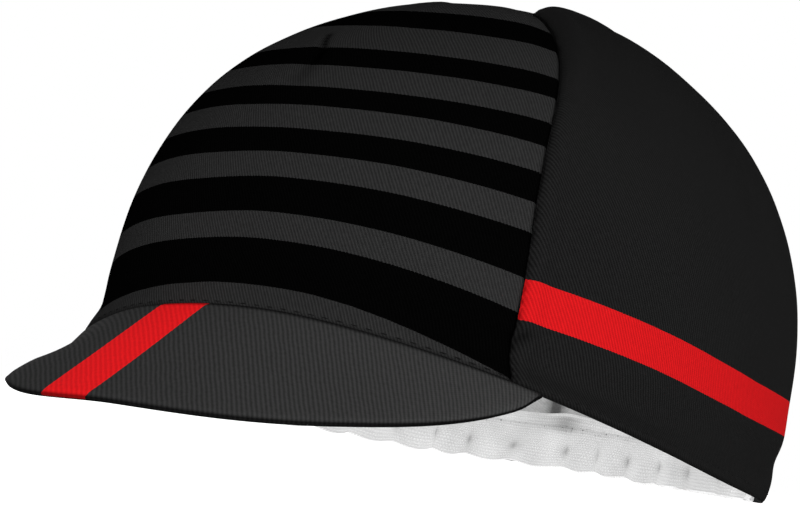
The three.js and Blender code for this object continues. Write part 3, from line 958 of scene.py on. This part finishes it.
def side_panel(name, side, material):
    """A side panel: a patch blended from the rim and three stretches of the seam."""

    def shape(u, v):
        over, turned = turned_edges(u, SIDE_GRID["columns"])
        line = np.round(v * SIDE_GRID["rows"])
        up = np.clip(line / (SIDE_GRID["rows"] - 1), 0, 1)
        turned = np.maximum(turned, line > SIDE_GRID["rows"] - 0.5)
        over, up = crowd_ends(over, 0.7), crowd_ends(up, 0.75)
        widen = 1 + SEAM_GAP / 2 / SEAM_OUT
        corner = [seam_place(at, side, widen) for at in (0.0, 1.0, FRONT_CORNER, BACK_CORNER)]
        corner = [(side * place[0], place[1]) for place in corner]
        front_angle = math.asin(widen * seam_across(0.0, side))
        back_angle = math.pi - math.asin(widen * seam_across(1.0, side))
        angle = front_angle + (back_angle - front_angle) * over
        low = (np.sin(angle), -np.cos(angle))
        high = seam_place(FRONT_CORNER + (BACK_CORNER - FRONT_CORNER) * over, side, widen)
        front = seam_place(FRONT_CORNER * up, side, widen)
        back = seam_place(1 - (1 - BACK_CORNER) * up, side, widen)
        high, front, back = [(side * place[0], place[1]) for place in (high, front, back)]
        place = []
        for k in range(2):
            blended = (1 - up) * low[k] + up * high[k] + (1 - over) * front[k] + over * back[k]
            low_corners = (1 - over) * corner[0][k] + over * corner[1][k]
            high_corners = (1 - over) * corner[2][k] + over * corner[3][k]
            place.append(blended - (1 - up) * low_corners - up * high_corners)
        across, along = place
        points = crown_surface(side * across, along, True)
        smooth_points = smooth_crown(side * across, along)
        cloth = side_cloth(smooth_points)
        points = points - outward(side * across, along) * TURNED_IN * turned[:, None]
        around = np.degrees(np.arctan2(across, -along))
        around = np.clip(around, SIDE_STRIPE_ANGLES[0], SIDE_STRIPE_ANGLES[-1])
        stripe = curve_through(SIDE_STRIPE_ANGLES, SIDE_STRIPE_HEIGHTS, around)
        printed = 0.5 + (smooth_points[:, 2] - stripe) / PRINT_SPAN
        to_seam = seam_distance(smooth_points)[0]
        # Painted shade along the rim's edge.
        edge = RIM_EDGE_SHADE["dark"] * bump(above_rim(side * across, along), RIM_EDGE_SHADE["spread"])
        # Painted shade along the seam, in the folds' valleys and at the rim's edge.
        painted_shade = np.max([bump(to_seam, SEAM_LINE_SHADE["side"]), painted_fold_shade(smooth_points), edge], axis=0)
        hem = hem_share(side * across, along)
        printed = np.where(turned > 0, np.round(printed), printed)
        return points, cloth, printed, painted_shade, hem, bump(to_seam, SEAM_SHADOW)

    piece = cloth_sheet(name, SIDE_GRID, shape)
    finish_sheet(piece, CLOTH, [material, INNER], INSIDE)
    return piece


# The peak

PEAK_GRID = dict(columns=150, rows=44)
PEAK_SLOPE = 30  # about how steeply the peak's cloth falls, in degrees
PEAK_TUCK = dict(depth=0.7, spread=0.8)  # how far the faces' root goes in under the crown's edge
PEAK_HILLS = dict(depth=0.25, apart=30, seed=3, edge=6)  # the edge is how far in from it they are full
MEET = 0.00001  # corners nearer than this, in metres, are one


def peak_face(name, material, thickness, depth, inset, roll):
    """One cloth face of the peak, at a depth below the peak's top. Its outer edge is inset from the peak's
    own edge and rolls down by roll."""

    def shape(u, v):
        share = np.sin((crowd_ends(u, 0.2) - 0.5) * math.pi) * 0.99995
        root = peak_edge(share, 0 * share)[0]
        whole = np.linalg.norm(peak_edge(share, 1 + 0 * share)[0] - root, axis=1)
        out = crowd_ends(v, 0.6) * np.maximum(1 - inset / np.maximum(whole, 1e-6), 0)
        sooner = LEFT_END["sooner"] * smooth(LEFT_END["start"], 1, share)
        points, droop = peak_edge(share * (1 - sooner), out)
        angle = np.radians(PEAK["half_angle"]) * share
        level = unit(outward(np.sin(angle), -np.cos(angle)) * [1, 1, 0])
        from_root = whole * out
        tuck = PEAK_TUCK["depth"] * bump(from_root, PEAK_TUCK["spread"])
        points += level * (rim_flare(angle, 0 * angle) * (1 - out) - tuck)[:, None]
        to_edge = whole * (1 - out)
        points[:, 2] -= depth / np.cos(droop) + roll * bump(to_edge, LIP["roll_spread"])
        to_middle = smooth(EDGE_RAISE["right_end"], EDGE_RAISE["middle_start"], share)
        lifted = EDGE_RAISE["right"] + (EDGE_RAISE["middle"] - EDGE_RAISE["right"]) * to_middle
        lifted = lifted * (1 - EDGE_RAISE["left_less"] * smooth(EDGE_RAISE["left_start"], 1, share))
        points[:, 2] += lifted * out ** 2
        hollow = smooth(RIGHT_HOLLOW["start"], RIGHT_HOLLOW["full"], -share)
        hollow = hollow * bump(out - RIGHT_HOLLOW["out"], RIGHT_HOLLOW["spread"])
        points[:, 2] -= RIGHT_HOLLOW["depth"] * hollow
        hills = PEAK_HILLS["depth"] * ripple(points, PEAK_HILLS["apart"], PEAK_HILLS["seed"])
        points[:, 2] += hills * smooth(0, PEAK_HILLS["edge"], to_edge)
        cloth = np.stack([points[:, 0], -points[:, 1] / math.cos(math.radians(PEAK_SLOPE))], axis=-1)
        # Painted shade at the peak's root and along its rolled edge.
        painted_shade = np.maximum(bump(from_root, 1.0), bump(to_edge, 0.6))
        printed = 0.5 + (points[:, 0] - PEAK_STRIPE["middle"]) / PRINT_SPAN
        return points, cloth, printed, painted_shade, 0 * painted_shade, 0 * painted_shade

    piece = cloth_sheet(name, PEAK_GRID, shape)
    edit(piece, lambda: bpy.ops.mesh.remove_doubles(threshold=MEET))
    finish_sheet(piece, thickness, [material], BELOW)
    return piece


# The sweatband

BAND_GRID = dict(columns=760, rows=26)
BAND_CLEARANCE = 0.1  # over the floor


def sweatband():
    """The knit band: a ring inside the rim, puffed between the stitches that gather its back half."""
    perimeter = math.pi * (RIM["half_width"] + (RIM["front"] + RIM["back"]) / 2)
    folds = round(perimeter * (360 - 2 * GATHER["start"]) / 360 / GATHER["pitch"])

    def shape(u, v):
        degrees = 180 + 360 * (u - 0.5)
        from_front = np.abs((degrees + 180) % 360 - 180)
        angle = np.radians(degrees)
        fold = (degrees - GATHER["start"]) / (360 - 2 * GATHER["start"]) * folds
        uneven = np.array([noise.noise(Vector((math.cos(a) * 4, math.sin(a) * 4, 0.7))) for a in angle])
        around = degrees % 360
        gathered = smooth(GATHER["start"], GATHER["full"], from_front)
        gathered *= 1 - SMOOTH_BAND["share"] * bump(around - SMOOTH_BAND["angle"], SMOOTH_BAND["spread"])
        puff = (0.5 - 0.5 * np.cos(TAU * (fold + 0.45 * uneven))) ** 0.75 * gathered
        rise = crowd_ends(v, 0.4) * BAND["height"]
        climb = np.arcsin((rise / CROWN["height"]) ** (1 / CROWN["top_power"]))
        radius = 1 - climb / (math.pi / 2)
        across, along = radius * np.sin(angle), -radius * np.cos(angle)
        points = smooth_crown(across, along)
        groove = HEM["groove"] * bump(rise - HEM["height"], HEM["spread"])
        low_part = 1 - smooth(GATHER["full_below"], GATHER["least_above"], rise)
        fullness = GATHER["least"] + (1 - GATHER["least"]) * low_part
        pit = (1 - puff) ** 4 * gathered * bump(rise - PIT["height"] - 0.8 * uneven, PIT["spread"])
        depth = CLOTH + BAND["clear"] + groove + 0.3
        depth += puff * GATHER["depth"] * fullness * (1 + 0.4 * uneven)
        depth -= PIT["depth"] * pit
        hem_line = BAND["height"] - BAND_HEM["below_top"]
        depth -= BAND_HEM["groove"] * bump(rise - hem_line, BAND_HEM["spread"])
        depth += BAND_HEM["step"] * smooth(BAND_HEM["step_low"], BAND_HEM["step_high"], rise)
        level = unit(outward(across, along) * [1, 1, 0])
        points = points - level * depth[:, None]
        below = np.interp(around, BAND_ANGLES, BAND_BELOW)
        swing = HEM_SWING["by"] * (puff - 0.5) * gathered
        points[:, 2] -= (below + swing) * (1 - smooth(0, HEM_SWING["up_to"], rise))
        at_join = bump(around - BAND_JOIN["angle"], BAND_JOIN["spread"])
        top_part = smooth(UNEVEN_TOP["low"], UNEVEN_TOP["high"], rise)
        points[:, 2] += (BAND_JOIN["up"] * at_join + UNEVEN_TOP["by"] * uneven) * top_part
        shadow = at_join * smooth(JOIN_SHADE["low"], JOIN_SHADE["full"], rise)
        shadow *= 1 - smooth(JOIN_SHADE["fading"], JOIN_SHADE["high"], rise)
        under_floor = BAND_CLEARANCE - to_rest(points)[:, 2] / MM
        points[:, 2] += np.maximum(under_floor, 0)
        cloth = np.stack([angle * perimeter / TAU, rise], axis=-1)
        # The pits go out as painted shade, and the join as painted shadow.
        return points, cloth, 0 * pit, pit, 0 * pit, shadow

    piece = cloth_sheet("sweatband_knit", BAND_GRID, shape)
    edit(piece, lambda: bpy.ops.mesh.remove_doubles(threshold=MEET))
    finish_sheet(piece, BAND["thickness"], [knit()], INSIDE)
    return piece


# Stitches

STITCH = dict(pitch=3.2, length=1.5, thick=0.24, front_above=1.3, above=2.4, proud=0.02)
STITCH_RISES = dict(low=45, high=75)  # the angles between which the row rises to the sides' height


def hem_stitches():
    """The row of topstitching around the crown, just above the rim."""
    angles = np.linspace(0, TAU, 1440, endpoint=False)
    from_front = np.abs((np.degrees(angles) + 180) % 360 - 180)
    to_side = smooth(STITCH_RISES["low"], STITCH_RISES["high"], from_front)
    above = STITCH["front_above"] + (STITCH["above"] - STITCH["front_above"]) * to_side
    climb = np.arcsin((above / CROWN["height"]) ** (1 / CROWN["top_power"]))
    radius = 1 - climb / (math.pi / 2)
    across, along = radius * np.sin(angles), -radius * np.cos(angles)
    line = smooth_crown(across, along)
    line = line + outward(across, along) * (relief(across, along, line, False) + STITCH["proud"])[:, None]
    step = np.linalg.norm(np.roll(line, -1, axis=0) - line, axis=1)
    distance = np.concatenate([[0], np.cumsum(step)])
    count = round(distance[-1] / STITCH["pitch"])
    closed = np.vstack([line, line[:1]])
    stitches = []
    for number in range(count):
        middle = (number + 0.5) * distance[-1] / count
        ends = middle + STITCH["length"] * np.array([-0.5, 0.5])
        points = np.stack([np.interp(ends, distance, closed[:, k]) for k in range(3)], axis=-1)
        stitches.append(to_rest(points))
    return laid_stitches("hem_stitches", stitches, black_thread())


def laid_stitches(name, stitches, material):
    """One stitch modelled once and copied between each pair of ends, as one piece."""
    deselect()
    bpy.ops.mesh.primitive_uv_sphere_add(segments=8, ring_count=6, radius=0.5)
    first = bpy.context.object
    copies = []
    for start, end in stitches:
        start, end = Vector(start), Vector(end)
        copy = bpy.data.objects.new(name, first.data.copy())
        bpy.context.scene.collection.objects.link(copy)
        turn = (end - start).to_track_quat("Z", "Y").to_matrix().to_4x4()
        size = Matrix.Diagonal((STITCH["thick"] * MM, STITCH["thick"] * MM, (end - start).length, 1))
        copy.data.transform(Matrix.Translation((start + end) / 2) @ turn @ size)
        copies.append(copy)
    bpy.data.objects.remove(first)
    deselect()
    for copy in copies:
        copy.select_set(True)
    bpy.context.view_layer.objects.active = copies[0]
    bpy.ops.object.join()
    piece = bpy.context.object
    piece.name = name
    piece.data.materials.append(material)
    bpy.ops.object.shade_smooth()
    return piece


# Building the cap

INNER = inner_twill()
SIDE = side_twill()

crown_middle = middle_panel()
left_side = side_panel("left_side_cloth", 1, SIDE)
right_side = side_panel("right_side_cloth", -1, SIDE)
peak_top = peak_face("peak_upper_cloth", peak_twill(), LIP["upper"], depth=0, inset=0, roll=0.35)
peak_below = peak_face(
    "peak_under_cloth", under_twill(), LIP["under"], depth=LIP["upper"] + LIP["clear"], inset=0.5, roll=0.2,
)
knit_band = sweatband()
stitches = hem_stitches()

for piece, node, slot in (
    (crown_middle, "center_panel", "striped_twill"),
    (left_side, "left_side_panel", "black_twill"),
    (right_side, "right_side_panel", "black_twill"),
    (peak_top, "peak_upper", "grey_twill"),
    (peak_below, "peak_under", "under_black"),
    (knit_band, "sweatband", "white_knit"),
):
    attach(piece, "root")
    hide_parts(node)
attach(stitches, "root")


# The floor, the light and the surroundings, in metres and watts

FLOOR = dict(size=8, depth=0.0002, tone=0.75, glow=0.33, camera_glow=0.7)
SKY = dict(low=0.10, high=0.6, low_strength=0.25, high_strength=0.10)  # from low down to high up
LAMPS = [
    dict(name="front_lamp", place=(0.78, -1.38, 0.42), aim=(0, -0.05, 0.05), size=0.8, power=23),
    dict(name="side_lamp", place=(1.50, 0.35, 0.40), aim=(0.03, 0, 0.05), size=1.0, power=8),
    dict(name="back_lamp", place=(-1.20, 1.20, 0.25), aim=(0, 0, 0.05), size=1.0, power=9),
]


def make_floor():
    """A plain pale floor just under the cap. It looks white to the camera, and lights the cap less."""
    deselect()
    bpy.ops.mesh.primitive_plane_add(size=FLOOR["size"], location=(0, 0, -FLOOR["depth"]))
    floor = bpy.context.object
    floor.name = "floor"
    material, tree, shader = new_material("floor_white", 0.9, 0.1, 0.0)
    shader.inputs["Base Color"].default_value = grey(FLOOR["tone"])
    shader.inputs["Emission Color"].default_value = grey(1)
    seen = add_node(tree, "ShaderNodeLightPath").outputs["Is Camera Ray"]
    strength = maths(tree, "MULTIPLY_ADD", seen, FLOOR["camera_glow"], FLOOR["glow"])
    feed(tree, shader.inputs["Emission Strength"], strength)
    floor.data.materials.append(material)


def area_light(name, place, aim, size, power):
    """A soft square lamp aimed at a point."""
    lamp = bpy.data.lights.new(name, "AREA")
    lamp.size = size
    lamp.energy = power
    holder = bpy.data.objects.new(name, lamp)
    bpy.context.scene.collection.objects.link(holder)
    holder.location = place
    holder.rotation_mode = "QUATERNION"
    holder.rotation_quaternion = (Vector(aim) - Vector(place)).to_track_quat("-Z", "Y")


def make_light():
    """Soft studio light: a pale surround, and large lamps in front of, beside and behind the cap."""
    world = bpy.data.worlds.new("studio")
    world.use_nodes = True
    tree = world.node_tree
    direction = add_node(tree, "ShaderNodeTexCoord").outputs["Generated"]
    upwards = add_node(tree, "ShaderNodeSeparateXYZ", {0: direction}).outputs[2]
    stretch = {0: upwards, 1: SKY["low"], 2: SKY["high"], 3: SKY["low_strength"], 4: SKY["high_strength"]}
    sky = add_node(tree, "ShaderNodeMapRange", stretch).outputs[0]
    seen = add_node(tree, "ShaderNodeLightPath").outputs["Is Camera Ray"]
    background = tree.nodes["Background"].inputs
    feed(tree, background["Strength"], maths(tree, "MAXIMUM", sky, seen))
    background["Color"].default_value = (1, 1, 1, 1)
    bpy.context.scene.world = world
    bpy.context.scene.view_settings.view_transform = "Standard"
    for lamp in LAMPS:
        area_light(**lamp)


make_floor()
make_light()
